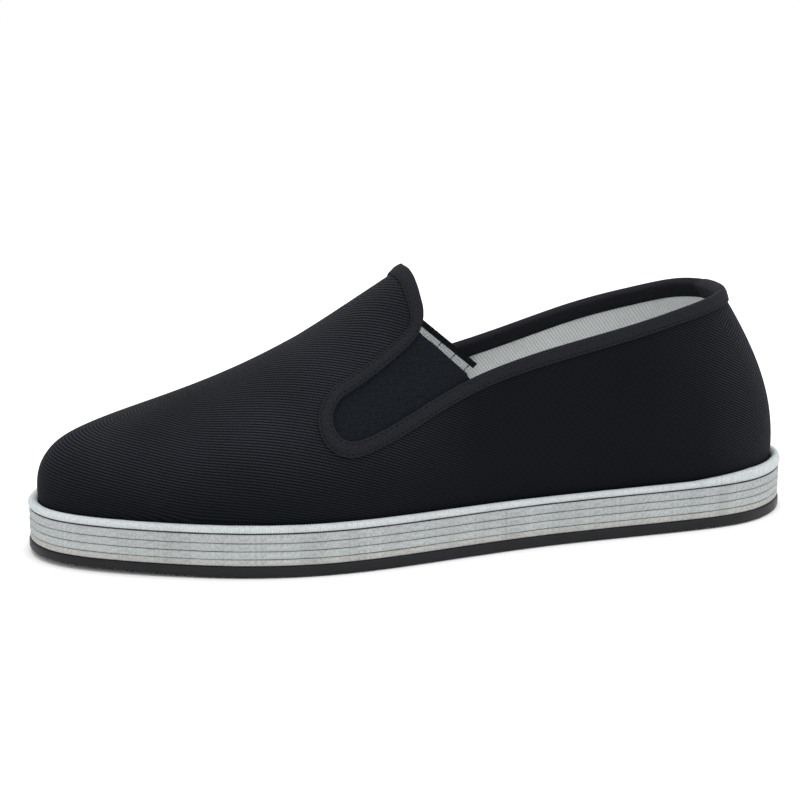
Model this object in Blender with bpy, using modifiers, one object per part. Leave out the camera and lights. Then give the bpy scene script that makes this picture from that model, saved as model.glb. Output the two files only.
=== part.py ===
"""Left cloth slip-on shoe: layered cloth sole, one-piece upper, elastic gores and bound topline.

Sizes are in millimetres and become metres where a mesh is made. A place on the shoe is written as
run (forward from the back of the sole), out (towards the outer side of the foot) and up.
The toe points along -Y, the outer side of the left foot faces +X, and the floor is at Z = 0.
"""

from collections import namedtuple
from math import acos, cos, pi, radians, sin, sqrt

import bmesh
import bpy
import numpy as np

MILLIMETRE = 0.001
MERGE_DISTANCE = 0.01 * MILLIMETRE
SHARP_ANGLE = 50.0

# Driving dimensions
LENGTH = 286.0
GAP = 0.3

# Spring of the toe: the sole is flat as far as the ball of the foot, then it bends up
SPRING_START = 190.0
SPRING_HEIGHT = 0.8
SPRING_POWER = 1.6

# Sole
OUTSOLE_HEIGHT = 4.3
OUTSOLE_EDGE = 0.6
LAYER_COUNT = 4
LAYER_HEIGHT = 2.65
LAYER_EDGE = 0.5
LAYER_INSET = 0.4
OUTLINE_STEPS = 40

# Welt piping, insole and upper, which all stand on the top layer
PIPING_WIDTH = 2.6
PIPING_HEIGHT = 3.0
PIPING_EDGE = 1.0
FEATHER_INSET = 3.6
WALL = 2.0
INSOLE_HEIGHT = 2.4
INSOLE_EDGE = 0.3
INSOLE_CLEARANCE = 0.7

# Lean of the upper's wall at its foot, outwards, and fullness of its sections
FOOT_FLARE = 6.0
FULLNESS = 0.36

# Crest line of the vamp: it leads the sections by a little, and past CREST_TURN it slows to its end
CREST_LEAD = 3.5
CREST_END = 259.5
CREST_TURN = ((CREST_END - CREST_LEAD) * pi / 2.0 - LENGTH) / (pi / 2.0 - 1.0)
TOE_SWING = 3.5

# Gore slots: a straight-sided tongue with a round nose, open to the collar
VAMP_END_SHARE = 0.516
NOSE_CENTRE_SHARE = 0.612
NOSE_RADIUS = 10.3
MOUTH_HEIGHT = 26.4
CORNER_RADIUS = 7.0
LATERAL_GORE_END = 133.5
MEDIAL_GORE_END = 120.5
GORE_THICKNESS = 1.2
GORE_DEPTH = 0.5

# Binding tape, folded over the edge of the upper
TAPE_THICKNESS = 0.7
TAPE_OUTSIDE = 3.9
TAPE_INSIDE = 5.4
TAPE_CLEARANCE = 0.35
TAPE_STEP = 4.2

# Sections of the last, from the heel to the toe.
# share: place along the sole. sole: half width of the sole there.
# knee: a point part way up the section, where the topline or the gore's lower edge lies.
# lean: how far the wall leans inwards at the knee, in degrees.
Section = namedtuple("Section", "share sole knee_run knee_out knee_up lean")

HEEL = Section(0.0, 0.0, 28.0, 0.0, 84.6, 35)
LATERAL = [
    Section(0.025, 17.5, 30.3, 10.0, 84.2, 30.5),
    Section(0.080, 29.5, 38.5, 18.5, 83.0, 21),
    Section(0.160, 34.8, 53.0, 24.8, 80.2, 16),
    Section(0.280, 37.8, 80.0, 29.0, 74.0, 13),
    Section(0.390, 41.2, 111.5, 31.2, 66.8, 13),
    Section(0.460, 44.8, 131.6, 33.0, 60.6, 19),
    Section(0.520, 48.3, 148.7, 38.6, 54.0, 28),
    Section(0.580, 51.6, 165.9, 43.6, 46.2, 31),
    Section(0.650, 53.8, 185.9, 46.8, 40.2, 31),
    Section(0.740, 51.9, 211.6, 46.2, 35.0, 30),
    Section(0.840, 43.6, 238.0, 38.8, 31.8, 30),
    Section(0.920, 33.4, 259.5, 29.0, 30.2, 29),
    Section(0.975, 22.0, 274.0, 18.2, 30.6, 28),
]
MEDIAL = [
    Section(0.025, -18.0, 30.3, -10.0, 84.8, 30.5),
    Section(0.080, -30.0, 38.5, -18.5, 83.8, 21),
    Section(0.160, -34.5, 53.0, -24.8, 80.0, 16),
    Section(0.280, -35.0, 80.0, -28.8, 72.8, 13),
    Section(0.390, -36.5, 111.5, -30.4, 62.6, 15),
    Section(0.460, -39.5, 131.6, -33.6, 56.2, 23),
    Section(0.520, -42.8, 148.7, -38.0, 50.6, 28),
    Section(0.580, -46.0, 165.9, -41.4, 45.0, 30),
    Section(0.650, -49.0, 185.9, -44.2, 40.2, 30),
    Section(0.740, -51.0, 211.0, -46.0, 35.4, 30),
    Section(0.840, -45.4, 238.0, -40.2, 32.6, 30),
    Section(0.920, -32.6, 259.5, -28.0, 31.2, 29),
    Section(0.975, -17.5, 274.0, -13.9, 31.0, 28),
]
TOE = Section(1.0, TOE_SWING, 280.6, TOE_SWING, 31.4, 27)

# Crest of the vamp, along the top of the instep
Crest = namedtuple("Crest", "run up")
CREST = [
    Crest(130.0, 108.6),
    Crest(150.0, 96.0),
    Crest(172.0, 82.1),
    Crest(187.0, 72.8),
    Crest(202.0, 64.8),
    Crest(217.0, 58.0),
    Crest(231.0, 52.6),
    Crest(245.0, 48.1),
    Crest(259.0, 44.3),
    Crest(270.0, 40.8),
]

# Steps of the meshes: along the collar, beside the gore, round its nose, and on to the toe
COLLAR_STEPS = 16
MOUTH_STEPS = 3
CORNER_STEPS = 3
GORE_STEPS = 5
NOSE_STEPS = 4
TOE_STEPS = 14
LOWER_ROWS = 6
UPPER_ROWS = 6
GORE_ROWS = 5
RIB_SAMPLES = 33
MEASURE_STEPS = 720
SLACK = 0.01


def spline(knots, values, period=None):
    """Cubic curve through the values: natural at its ends, or closed after one period."""
    knots = np.asarray(knots, float)
    values = np.asarray(values, float)
    count = len(knots)
    if period:
        knots = np.append(knots, knots[0] + period)
        values = np.vstack([values, values[:1]])
    steps = np.diff(knots)[:, None]
    slopes = np.diff(values, axis=0) / steps
    matrix = np.zeros((count, count))
    right = np.zeros((count, values.shape[1]))
    for i in range(count):
        if not period and i in (0, count - 1):
            matrix[i, i] = 1.0
            continue
        before = steps[i - 1, 0]
        after = steps[i, 0]
        matrix[i, i - 1] = before
        matrix[i, i] = 2.0 * (before + after)
        matrix[i, (i + 1) % count] = after
        right[i] = 6.0 * (slopes[i] - slopes[i - 1])
    bends = np.linalg.solve(matrix, right)
    if period:
        bends = np.vstack([bends, bends[:1]])

    def curve(place):
        if period:
            place = (place - knots[0]) % period + knots[0]
        i = int(np.clip(np.searchsorted(knots, place) - 1, 0, len(steps) - 1))
        step = steps[i, 0]
        left = (knots[i + 1] - place) / step
        rest = 1.0 - left
        bow = (left ** 3 - left) * bends[i] + (rest ** 3 - rest) * bends[i + 1]
        return left * values[i] + rest * values[i + 1] + bow * step * step / 6.0

    return curve


def turn_of(share):
    """Angle round the last for a place along the sole: 0 at the heel, pi at the toe."""
    return acos(1.0 - 2.0 * share)


def share_of(turn):
    """Place along the sole for an angle round the last."""
    return (1.0 - cos(turn)) / 2.0


SECTIONS = [HEEL] + LATERAL + [TOE] + MEDIAL[::-1]
TURNS = [turn_of(row.share) for row in [HEEL] + LATERAL + [TOE]]
TURNS += [2.0 * pi - turn_of(row.share) for row in MEDIAL[::-1]]
SOLE_LINE = spline(TURNS, [[row.share * LENGTH, row.sole] for row in SECTIONS], 2.0 * pi)
KNEE_LINE = spline(TURNS, [row[2:] for row in SECTIONS], 2.0 * pi)
CREST_LINE = spline([row.run for row in CREST], [[row.up] for row in CREST])

LAYERS_TOP = OUTSOLE_HEIGHT + LAYER_COUNT * (LAYER_HEIGHT + GAP)
SEAT = LAYERS_TOP + GAP


def sole_point(turn, inset=0.0):
    """Point of the sole's outline in plan, moved inwards by inset, and its inward normal."""
    small = 1e-4
    ahead = SOLE_LINE(turn + small) - SOLE_LINE(turn - small)
    inward = np.array([ahead[1], -ahead[0]]) / np.hypot(*ahead)
    return SOLE_LINE(turn) + inset * inward, inward


SOLE_EDGE = np.array([sole_point(2.0 * pi * i / MEASURE_STEPS)[0] for i in range(MEASURE_STEPS)])
MIDDLE = (SOLE_EDGE.min(axis=0) + SOLE_EDGE.max(axis=0)) / 2.0


def spring(run):
    """How far the toe's spring lifts the shoe there."""
    beyond = max(0.0, run - SPRING_START) / (LENGTH - SPRING_START)
    return SPRING_HEIGHT * beyond ** SPRING_POWER


def to_model(point):
    """Turn run, out and up in millimetres into X, Y and Z in metres."""
    run, out, up = point
    up += spring(run)
    return ((out - MIDDLE[1]) * MILLIMETRE, (MIDDLE[0] - run) * MILLIMETRE, up * MILLIMETRE)


def bezier(ends, handles, samples):
    """Points along a cubic curve from its two ends and two handles."""
    t = np.linspace(0.0, 1.0, samples)[:, None]
    start, finish = ends
    first, second = handles
    return ((1 - t) ** 3 * start + 3 * (1 - t) ** 2 * t * first
            + 3 * (1 - t) * t ** 2 * second + t ** 3 * finish)


def lengths(points):
    """Distance walked along a line of points."""
    return np.append(0.0, np.cumsum(np.linalg.norm(np.diff(points, axis=0), axis=1)))


def crest_point(turn):
    """Point on the crest of the vamp where the section at this turn ends, and the crest's slope."""
    run = share_of(turn) * LENGTH
    if run > CREST_TURN:
        rest = (run - CREST_TURN) / (LENGTH - CREST_TURN)
        run = CREST_TURN + (CREST_END - CREST_LEAD - CREST_TURN) * sin(rest * pi / 2.0)
    run += CREST_LEAD
    slope = (CREST_LINE(run + SLACK)[0] - CREST_LINE(run - SLACK)[0]) / (2.0 * SLACK)
    out = TOE_SWING * (run / LENGTH) ** 2
    return np.array([run, out, CREST_LINE(run)[0]]), slope


def on_vamp(turn):
    """Whether the section at this turn carries on over the vamp to the crest."""
    run = KNEE_LINE(turn)[0]
    end = LATERAL_GORE_END if turn % (2.0 * pi) <= pi else MEDIAL_GORE_END
    return run > end - SLACK


def build_rib(turn):
    """The two stretches of a section, foot to knee and knee to crest, and the knee's direction."""
    foot_plan, inward = sole_point(turn, FEATHER_INSET)
    run, out, up, lean = KNEE_LINE(turn)
    foot = np.array([foot_plan[0], foot_plan[1], SEAT])
    knee = np.array([run, out, up])
    flare = radians(FOOT_FLARE)
    rise = np.array([-inward[0] * sin(flare), -inward[1] * sin(flare), cos(flare)])
    tilt = radians(lean)
    climb = np.array([inward[0] * sin(tilt), inward[1] * sin(tilt), cos(tilt)])
    reach = FULLNESS * np.linalg.norm(knee - foot)
    lower = bezier((foot, knee), (foot + reach * rise, knee - reach * climb), RIB_SAMPLES)
    if not on_vamp(turn):
        return lower, None, climb
    crest, slope = crest_point(turn)
    aim = crest[:2] - knee[:2]
    aim = aim / np.hypot(*aim)
    level = np.array([aim[0], aim[1], slope * aim[0]])
    reach = FULLNESS * np.linalg.norm(crest - knee)
    upper = bezier((knee, crest), (knee + reach * climb, crest - reach * level), RIB_SAMPLES)
    return lower, upper, climb


RIBS = {}


def rib(turn):
    """A section with the lengths along it, worked out once for each turn."""
    key = round(turn % (2.0 * pi), 9)
    if key not in RIBS:
        lower, upper, climb = build_rib(turn)
        upper_lengths = None if upper is None else lengths(upper)
        RIBS[key] = (lower, lengths(lower), upper, upper_lengths, climb)
    return RIBS[key]


def depth_below_knee(turn):
    """Length of a section from its foot to its knee."""
    return rib(turn)[1][-1]


def height_above_knee(turn):
    """Length of a section from its knee to the crest."""
    return rib(turn)[3][-1]


def walk(points, distances, distance):
    """Point at a distance along a line of points."""
    return np.array([np.interp(distance, distances, points[:, axis]) for axis in range(3)])


def skin(turn, height):
    """Point of the upper's outer face, at a height along the section from its knee."""
    lower, lower_lengths, upper, upper_lengths, climb = rib(turn)
    if height <= 0.0:
        return walk(lower, lower_lengths, lower_lengths[-1] + height)
    if upper is None:
        return lower[-1] + height * climb
    return walk(upper, upper_lengths, height)


def skin_normal(turn, height):
    """Outward normal of the upper's outer face."""
    small_turn = 0.004
    small_height = 0.6
    top = height + small_height
    if rib(turn)[3] is not None:
        top = min(top, height_above_knee(turn))
    along = skin(turn + small_turn, height) - skin(turn - small_turn, height)
    across = skin(turn, top) - skin(turn, top - 2.0 * small_height)
    normal = np.cross(across, along)
    return normal / np.linalg.norm(normal)


def lifted(turn, height, lift):
    """Point at a distance outwards from the upper's outer face."""
    return skin(turn, height) + lift * skin_normal(turn, height)


MEASURE_TURNS = np.linspace(0.0, pi, MEASURE_STEPS)
PLACES = lengths(np.array([KNEE_LINE(turn)[:3] for turn in MEASURE_TURNS]))


def place_of(turn):
    """Length along the knee line from the heel, for a turn on either side."""
    return float(np.interp(abs(turn), MEASURE_TURNS, PLACES))


class Side:
    """The slot and the topline on one side of the shoe, in places along the knee line."""

    def __init__(self, sign, gore_end):
        self.sign = sign
        runs = [KNEE_LINE(sign * turn)[0] for turn in MEASURE_TURNS]
        self.gore_end = float(np.interp(gore_end, runs, PLACES))
        self.vamp_end = place_of(turn_of(VAMP_END_SHARE))
        self.nose_centre = place_of(turn_of(NOSE_CENTRE_SHARE))
        self.nose = self.nose_centre + NOSE_RADIUS

    def turn_at(self, place):
        """Signed turn for a length along the knee line."""
        return self.sign * float(np.interp(place, PLACES, MEASURE_TURNS))

    def slot_bottom(self, place, inset=0.0):
        """Height of the slot's lower edge above the knee line."""
        beyond = max(0.0, place - self.nose_centre)
        radius = NOSE_RADIUS - inset
        return NOSE_RADIUS - sqrt(max(0.0, radius ** 2 - beyond ** 2))

    def slot_top(self, place, inset=0.0):
        """Height of the slot's upper edge, with the vamp's rounded corner at its rear."""
        radius = NOSE_RADIUS - inset
        if place >= self.nose_centre:
            beyond = place - self.nose_centre
            return NOSE_RADIUS + sqrt(max(0.0, radius ** 2 - beyond ** 2))
        share = (self.nose_centre - place) / (self.nose_centre - self.vamp_end)
        height = 2.0 * NOSE_RADIUS + share * (MOUTH_HEIGHT - 2.0 * NOSE_RADIUS) - inset
        short = max(0.0, self.vamp_end + CORNER_RADIUS - place)
        if inset == 0.0:
            height += CORNER_RADIUS - sqrt(max(0.0, CORNER_RADIUS ** 2 - short ** 2))
        return height

    def collar_places(self):
        """Places along the collar, closer together round the heel."""
        even = np.linspace(0.0, self.gore_end, COLLAR_STEPS + 1)
        turns = np.linspace(0.0, abs(self.turn_at(self.gore_end)), COLLAR_STEPS + 1)
        return [(place + place_of(turn)) / 2.0 for place, turn in zip(even, turns)]

    def corner_places(self):
        """Places round the vamp's corner, closer together where it is steep."""
        steps = [sin(i / CORNER_STEPS * pi / 2.0) for i in range(CORNER_STEPS + 1)]
        return [self.vamp_end + CORNER_RADIUS * (1.0 - step) for step in steps[::-1]]

    def nose_places(self):
        """Places round the nose of the slot, closer together at its tip."""
        steps = [sin(i / NOSE_STEPS * pi / 2.0) for i in range(NOSE_STEPS + 1)]
        return [self.nose_centre + NOSE_RADIUS * step for step in steps]

    def vamp_places(self):
        """Places from the vamp's end to the nose of the slot."""
        corner = self.corner_places()
        straight = np.linspace(corner[-1], self.nose_centre, GORE_STEPS + 1)
        return corner[:-1] + list(straight[:-1]) + self.nose_places()


LATERAL_SIDE = Side(1.0, LATERAL_GORE_END)
MEDIAL_SIDE = Side(-1.0, MEDIAL_GORE_END)


def add_grid(mesh, rows):
    """Add a grid of four-sided faces to a bmesh, from rows of points in run, out and up."""
    grid = [[mesh.verts.new(to_model(point)) for point in row] for row in rows]
    for here, there in zip(grid, grid[1:]):
        for i in range(len(here) - 1):
            mesh.faces.new((here[i], here[i + 1], there[i + 1], there[i]))


def make_material(name, colour, roughness):
    """Plain material with a colour and a roughness."""
    material = bpy.data.materials.new(name)
    material.use_nodes = True
    shader = material.node_tree.nodes["Principled BSDF"]
    shader.inputs["Base Color"].default_value = (*colour, 1.0)
    shader.inputs["Roughness"].default_value = roughness
    shader.inputs["Metallic"].default_value = 0.0
    return material


def add_object(name, data, collection, material):
    """Add an object with its material to the shoe."""
    thing = bpy.data.objects.new(name, data)
    data.materials.append(material)
    collection.objects.link(thing)
    return thing


def finish_mesh(mesh, name):
    """Join a bmesh's matching vertices, turn its faces outwards and return a smooth mesh."""
    bmesh.ops.remove_doubles(mesh, verts=mesh.verts, dist=MERGE_DISTANCE)
    bmesh.ops.recalc_face_normals(mesh, faces=mesh.faces)
    data = bpy.data.meshes.new(name)
    mesh.to_mesh(data)
    mesh.free()
    data.shade_smooth()
    data.set_sharp_from_angle(angle=radians(SHARP_ANGLE))
    return data


def outline_loop(inset, up):
    """Closed line at one height round the sole, moved inwards by inset."""
    turns = [i * pi / OUTLINE_STEPS for i in range(2 * OUTLINE_STEPS)]
    loop = [(*sole_point(turn, inset)[0], up) for turn in turns]
    return loop + loop[:1]


def add_strips(mesh, inset, up):
    """Flat face inside an outline, as strips from side to side."""
    loop = outline_loop(inset, up)
    outer = loop[:OUTLINE_STEPS + 1]
    inner = loop[:OUTLINE_STEPS - 1:-1]
    add_grid(mesh, [outer, inner])


def edge_profile(inset, low, high, edge):
    """Upright edge of a plate with its corners softened, from the bottom to the top."""
    return [(inset + edge, low), (inset, low + edge), (inset, high - edge), (inset + edge, high)]


def make_plate(name, inset, low, high, edge, collection, material):
    """Plate of the sole's outline, with softened edges."""
    mesh = bmesh.new()
    add_grid(mesh, [outline_loop(*place) for place in edge_profile(inset, low, high, edge)])
    add_strips(mesh, inset + edge, low)
    add_strips(mesh, inset + edge, high)
    return add_object(name, finish_mesh(mesh, name), collection, material)


def make_ring(name, inset, width, low, high, edge, collection, material):
    """Ring along the sole's outline, with softened edges."""
    outer = edge_profile(inset, low, high, edge)
    inner = [(2.0 * inset + width - place, up) for place, up in outer[::-1]]
    profile = outer + inner
    mesh = bmesh.new()
    add_grid(mesh, [outline_loop(*place) for place in profile + profile[:1]])
    return add_object(name, finish_mesh(mesh, name), collection, material)


def make_sole(collection, rubber, cotton):
    """Rubber outsole with four layers of bound cloth on it."""
    make_plate("outsole", 0.0, 0.0, OUTSOLE_HEIGHT, OUTSOLE_EDGE, collection, rubber)
    for i in range(LAYER_COUNT):
        low = OUTSOLE_HEIGHT + GAP + i * (LAYER_HEIGHT + GAP)
        name = "cloth_layer_%d" % (i + 1)
        make_plate(name, LAYER_INSET, low, low + LAYER_HEIGHT, LAYER_EDGE, collection, cotton)


def make_piping(collection, cotton):
    """Rolled strip round the foot of the upper."""
    top = SEAT + PIPING_HEIGHT
    make_ring("welt_piping", LAYER_INSET, PIPING_WIDTH, SEAT, top, PIPING_EDGE, collection, cotton)


def make_insole(collection, lining):
    """Insole inside the foot of the upper."""
    inset = FEATHER_INSET + WALL + INSOLE_CLEARANCE
    make_plate("insole", inset, SEAT, SEAT + INSOLE_HEIGHT, INSOLE_EDGE, collection, lining)


def column(turn, low, high, rows):
    """Points up one section between two heights from the knee."""
    return [skin(turn, height) for height in np.linspace(low, high, rows + 1)]


def add_upper_side(mesh, side):
    """Outer face of the upper on one side: quarter below the slot, vamp above and ahead of it."""
    collar = side.collar_places()
    mouth = list(np.linspace(side.gore_end, side.vamp_end, MOUTH_STEPS + 1))
    beside = side.vamp_places()
    lower = []
    for place in collar[:-1] + mouth[:-1] + beside:
        turn = side.turn_at(place)
        lower.append(column(turn, -depth_below_knee(turn), side.slot_bottom(place), LOWER_ROWS))
    upper = []
    for place in beside:
        turn = side.turn_at(place)
        upper.append(column(turn, side.slot_top(place), height_above_knee(turn), UPPER_ROWS))
    nose_turn = side.turn_at(side.nose)
    for i in range(1, TOE_STEPS + 1):
        step = i / TOE_STEPS
        turn = nose_turn + step * (side.sign * pi - nose_turn)
        middle = NOSE_RADIUS * (1.0 - step) ** 2
        lower.append(column(turn, -depth_below_knee(turn), middle, LOWER_ROWS))
        upper.append(column(turn, middle, height_above_knee(turn), UPPER_ROWS))
    add_grid(mesh, lower)
    add_grid(mesh, upper)


def make_upper(collection, canvas):
    """Vamp and quarters in one piece, open at the collar, at the gores and underneath."""
    mesh = bmesh.new()
    add_upper_side(mesh, LATERAL_SIDE)
    add_upper_side(mesh, MEDIAL_SIDE)
    upper = add_object("upper", finish_mesh(mesh, "upper"), collection, canvas)
    wall = upper.modifiers.new("Wall", "SOLIDIFY")
    wall.thickness = WALL * MILLIMETRE
    wall.offset = -1.0
    wall.use_even_offset = True
    wall.use_quality_normals = True
    return upper


def make_gore(name, side, collection, elastic):
    """Elastic gore that fills the slot, from its nose to its mouth at the collar."""
    inset = TAPE_CLEARANCE + TAPE_THICKNESS + GAP
    reach = NOSE_RADIUS - inset
    mouth_top = side.vamp_end + GAP
    mouth_foot = side.gore_end - 2.0 * inset
    straight = list(np.linspace(side.gore_end, side.nose_centre, MOUTH_STEPS + GORE_STEPS + 1))
    bends = [i / (NOSE_STEPS + 1) * pi / 2.0 for i in range(1, NOSE_STEPS + 1)]
    tips = [side.nose_centre + reach * sin(bend) for bend in bends]
    rows = []
    for place in straight + tips:
        turn = side.turn_at(place)
        low = side.slot_bottom(place, inset)
        high = side.slot_top(max(place, mouth_top), inset)
        if place < mouth_top:
            share = (place - mouth_foot) / (mouth_top - mouth_foot)
            high = low + share * (high - low)
        heights = np.linspace(low, high, GORE_ROWS + 1)
        rows.append([lifted(turn, height, -GORE_DEPTH) for height in heights])
    mesh = bmesh.new()
    add_grid(mesh, rows)
    gore = add_object(name, finish_mesh(mesh, name), collection, elastic)
    wall = gore.modifiers.new("Wall", "SOLIDIFY")
    wall.thickness = GORE_THICKNESS * MILLIMETRE
    wall.offset = -1.0
    return gore


def binding_route(side):
    """Line of the upper's bound edge on one side, from the crest to the heel, as place and height."""
    top = height_above_knee(side.turn_at(side.vamp_end))
    corner_top = side.slot_top(side.vamp_end)
    steps = int(round((top - corner_top) / TAPE_STEP))
    route = [(side.vamp_end, height) for height in np.linspace(top, corner_top, steps + 1)]
    places = side.vamp_places()
    route += [(place, side.slot_top(place)) for place in places[1:]]
    route += [(place, side.slot_bottom(place)) for place in side.nose_places()[-2::-1]]
    steps = int(round(side.nose_centre / TAPE_STEP))
    route += [(place, 0.0) for place in np.linspace(side.nose_centre, 0.0, steps + 1)[1:]]
    return np.array(route)


def tape_profile():
    """Folded tape in section: distance in from the edge, and lift from the outer face."""
    near = TAPE_CLEARANCE
    far = TAPE_CLEARANCE + TAPE_THICKNESS
    return [(TAPE_OUTSIDE, far), (TAPE_OUTSIDE, near), (-near, near), (-near, -WALL - near),
            (TAPE_INSIDE, -WALL - near), (TAPE_INSIDE, -WALL - far), (-far, -WALL - far), (-far, far)]


def tape_sections(side):
    """Sections of the tape along one side, from the crest to the heel."""
    route = binding_route(side)
    ahead = np.gradient(route, axis=0)
    ahead[0] = (0.0, -1.0)
    ahead[-1] = (-1.0, 0.0)
    sections = []
    for (place, height), (step_place, step_height) in zip(route, ahead):
        size = np.hypot(step_place, step_height)
        into = (-step_height / size, step_place / size)
        section = []
        for inwards, lift in tape_profile():
            turn = side.turn_at(place + inwards * into[0])
            section.append(lifted(turn, height + inwards * into[1], lift))
        sections.append(section)
    return sections


def make_binding(collection, tape):
    """Tape folded over the whole edge of the upper: vamp end, slots and collar."""
    sections = tape_sections(LATERAL_SIDE) + tape_sections(MEDIAL_SIDE)[-2:0:-1]
    loop = sections + sections[:1]
    mesh = bmesh.new()
    add_grid(mesh, [section + section[:1] for section in loop])
    return add_object("topline_binding", finish_mesh(mesh, "topline_binding"), collection, tape)


def clear_scene():
    """Remove what the scene holds."""
    for thing in list(bpy.data.objects):
        bpy.data.objects.remove(thing, do_unlink=True)


def main():
    """Build the shoe."""
    clear_scene()
    collection = bpy.data.collections.new("cloth_shoe")
    bpy.context.scene.collection.children.link(collection)
    rubber = make_material("outsole_rubber", (0.022, 0.022, 0.026), 0.45)
    cotton = make_material("white_cotton", (0.72, 0.74, 0.72), 0.85)
    canvas = make_material("black_canvas", (0.012, 0.012, 0.014), 0.9)
    tape = make_material("black_tape", (0.02, 0.02, 0.022), 0.85)
    elastic = make_material("black_elastic", (0.01, 0.01, 0.012), 0.95)
    lining = make_material("grey_lining", (0.42, 0.42, 0.42), 0.9)
    make_sole(collection, rubber, cotton)
    make_piping(collection, cotton)
    make_insole(collection, lining)
    make_upper(collection, canvas)
    make_gore("gore_lateral", LATERAL_SIDE, collection, elastic)
    make_gore("gore_medial", MEDIAL_SIDE, collection, elastic)
    make_binding(collection, tape)


main()
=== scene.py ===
# %% [markdown]
# # A left cloth slip-on shoe
# The shoe has a black twill upper, knitted elastic at both sides, a tape folded over every edge, and a
# sole of four white cloth layers on dark rubber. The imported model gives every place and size. This
# lesson loads it as a fixed frame and then makes the pieces that a person would look at, one by one.

# %% Load the frame
from math import atan2, cos, pi, radians, sin

import bpy
import numpy as np
from mathutils import Matrix, Vector, noise
from mathutils.bvhtree import BVHTree
from mathutils.kdtree import KDTree


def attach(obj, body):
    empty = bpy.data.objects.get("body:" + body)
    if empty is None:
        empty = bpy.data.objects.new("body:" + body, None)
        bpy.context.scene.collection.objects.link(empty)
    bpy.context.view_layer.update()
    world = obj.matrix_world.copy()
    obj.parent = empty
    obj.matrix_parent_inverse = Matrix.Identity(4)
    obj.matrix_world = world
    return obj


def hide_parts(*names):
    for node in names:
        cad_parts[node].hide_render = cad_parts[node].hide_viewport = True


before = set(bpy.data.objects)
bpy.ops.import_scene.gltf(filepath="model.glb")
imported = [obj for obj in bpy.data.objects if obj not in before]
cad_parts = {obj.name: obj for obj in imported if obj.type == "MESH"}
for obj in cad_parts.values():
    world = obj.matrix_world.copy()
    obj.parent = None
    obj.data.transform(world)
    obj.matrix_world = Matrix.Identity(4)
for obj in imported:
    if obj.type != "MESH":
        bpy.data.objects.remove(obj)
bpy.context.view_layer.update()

MM = 0.001
print("frame holds", sorted(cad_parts))

# %% [markdown]
# ## The camera
# The photograph was taken from the outer side, a little ahead of the middle and a little above. A long
# lens keeps the shoe free of distortion. The camera is set by three directions, which were fitted to
# the sole's edge, and it is rolled by half a degree as the photograph is.

# %% Camera
CAMERA_PLACE = Vector((0.56331, -0.14140, 0.18515))
CAMERA_RIGHT = Vector((0.242888, 0.970054, 0.0))
CAMERA_UP = Vector((-0.234677, 0.058760, 0.970296))
CAMERA_ROLL = 0.00827
FOCAL_PIXELS = 1623.67
PICTURE_PIXELS = 800.0
CENTRE_PIXELS = (421.94, 415.94)

camera_data = bpy.data.cameras.new("camera")
camera = bpy.data.objects.new("camera", camera_data)
bpy.context.scene.collection.objects.link(camera)
right = CAMERA_RIGHT * cos(CAMERA_ROLL) + CAMERA_UP * sin(CAMERA_ROLL)
up = CAMERA_UP * cos(CAMERA_ROLL) - CAMERA_RIGHT * sin(CAMERA_ROLL)
turned = Matrix((right, up, right.cross(up))).transposed()
camera.matrix_world = Matrix.Translation(CAMERA_PLACE) @ turned.to_4x4()
camera_data.sensor_width = 36.0
camera_data.lens = FOCAL_PIXELS / PICTURE_PIXELS * camera_data.sensor_width
camera_data.shift_x = (PICTURE_PIXELS / 2 - CENTRE_PIXELS[0]) / PICTURE_PIXELS
camera_data.shift_y = (CENTRE_PIXELS[1] - PICTURE_PIXELS / 2) / PICTURE_PIXELS
bpy.context.scene.camera = camera
print("camera lens in mm:", round(camera_data.lens, 2))

# %% [markdown]
# ## Small helpers for objects
# An operator acts on all that is selected, so each step first selects one object alone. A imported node
# is made of loose triangles. Its copy is merged and its triangles are paired into four-sided faces,
# which a subdivision surface needs to stay smooth.

# %% Object helpers
def pick(thing):
    """Select one object alone and make it active."""
    bpy.ops.object.select_all(action="DESELECT")
    thing.select_set(True)
    bpy.context.view_layer.objects.active = thing


def edit_all(thing):
    """Open an object for editing with all of it selected."""
    pick(thing)
    bpy.ops.object.mode_set(mode="EDIT")
    bpy.ops.mesh.select_all(action="SELECT")


def leave_edit():
    """Go back to object mode."""
    bpy.ops.object.mode_set(mode="OBJECT")


def face_outward(thing):
    """Turn all the faces of a closed mesh to the outside."""
    edit_all(thing)
    bpy.ops.mesh.normals_make_consistent(inside=False)
    leave_edit()


def places(thing):
    """Vertex places of an object as an array."""
    spots = np.empty(len(thing.data.vertices) * 3, np.float64)
    thing.data.vertices.foreach_get("co", spots)
    return spots.reshape(-1, 3)


def set_places(thing, spots):
    """Move the vertices of an object."""
    thing.data.vertices.foreach_set("co", np.asarray(spots, np.float64).ravel())
    thing.data.update()


def copy_node(node, name):
    """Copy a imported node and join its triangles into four-sided faces."""
    pick(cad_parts[node])
    bpy.ops.object.duplicate()
    thing = bpy.context.view_layer.objects.active
    thing.name = name
    for key in [key for key in thing.keys() if key.startswith("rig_")]:
        del thing[key]
    edit_all(thing)
    bpy.ops.mesh.remove_doubles(threshold=1e-5)
    bpy.ops.mesh.tris_convert_to_quads(face_threshold=pi, shape_threshold=radians(30))
    bpy.ops.mesh.tris_convert_to_quads(face_threshold=pi, shape_threshold=pi)
    leave_edit()
    return thing


def smooth(thing, levels, kind="CATMULL_CLARK"):
    """Divide an object finely, rounded or just as it is, and keep the result."""
    pick(thing)
    modifier = thing.modifiers.new("smooth", "SUBSURF")
    modifier.subdivision_type = kind
    modifier.levels = levels
    modifier.render_levels = levels
    bpy.ops.object.modifier_apply(modifier=modifier.name)
    bpy.ops.object.shade_smooth()


def dress(thing, *materials):
    """Give an object its finishes, in place of any that it has."""
    thing.data.materials.clear()
    for material in materials:
        thing.data.materials.append(material)


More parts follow.
